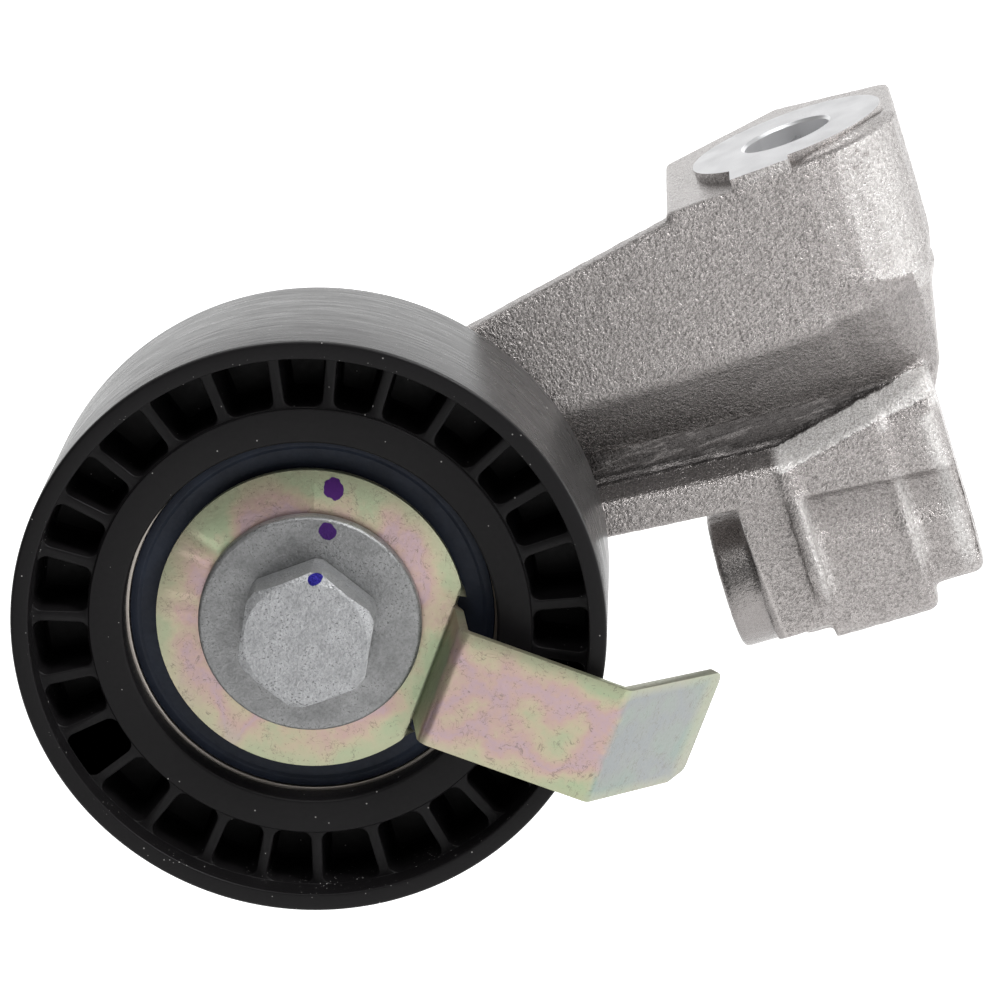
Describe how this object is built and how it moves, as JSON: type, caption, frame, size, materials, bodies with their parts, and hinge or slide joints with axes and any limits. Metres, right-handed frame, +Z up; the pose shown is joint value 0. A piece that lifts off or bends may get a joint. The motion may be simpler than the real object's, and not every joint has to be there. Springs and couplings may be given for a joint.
{
  "type": "belt tensioner idler",
  "caption": "Ribbed plastic idler pulley on a ball bearing, bolted with a folded guard tab to a cast aluminium bracket.",
  "frame": {"origin": "centre of the upright bolt hole, on the machined pad", "axes": "+Z up out of the bolt hole, +X along the arm away from the pulley, the pulley turns about Y with its bolt head towards -Y"},
  "size_m": [0.1191, 0.0731, 0.072],
  "materials": {
    "cast_aluminium": "blasted casting",
    "black_nylon": "moulded",
    "bearing_steel": "ground",
    "cage_steel": "pressed",
    "seal_rubber": "satin",
    "turned_steel": "turned",
    "yellow_zinc": "yellow chromate over zinc",
    "grey_zinc_flake": "zinc flake coating"
  },
  "bodies": {
    "bracket": {"bracket": "cast_aluminium", "guard_plate": "yellow_zinc", "pulley_bolt": "grey_zinc_flake", "bolt_washer": "grey_zinc_flake", "spacer_sleeve": "turned_steel", "bearing_inner_ring": "bearing_steel"},
    "pulley": {"pulley_wheel": "black_nylon", "bearing_outer_ring": "bearing_steel", "front_seal": "seal_rubber", "rear_seal": "seal_rubber"},
    "ball_cage": {"cage_front": "cage_steel", "cage_rear": "cage_steel", "ball_1": "bearing_steel", "ball_2": "bearing_steel", "ball_3": "bearing_steel", "ball_4": "bearing_steel", "ball_5": "bearing_steel", "ball_6": "bearing_steel", "ball_7": "bearing_steel"}
  },
  "joints": [
    {"name": "pulley_spin", "type": "hinge", "parent": "bracket", "child": "pulley", "pos_m": [-0.0705, -0.0315, -0.027], "axis": [0, 1, 0], "continuous": true},
    {"name": "cage_spin", "type": "hinge", "parent": "bracket", "child": "ball_cage", "pos_m": [-0.0705, -0.0315, -0.027], "axis": [0, 1, 0], "continuous": true}
  ],
  "couplings": [
    {"joint": "cage_spin", "follows": "pulley_spin", "ratio": 0.63641}
  ]
}
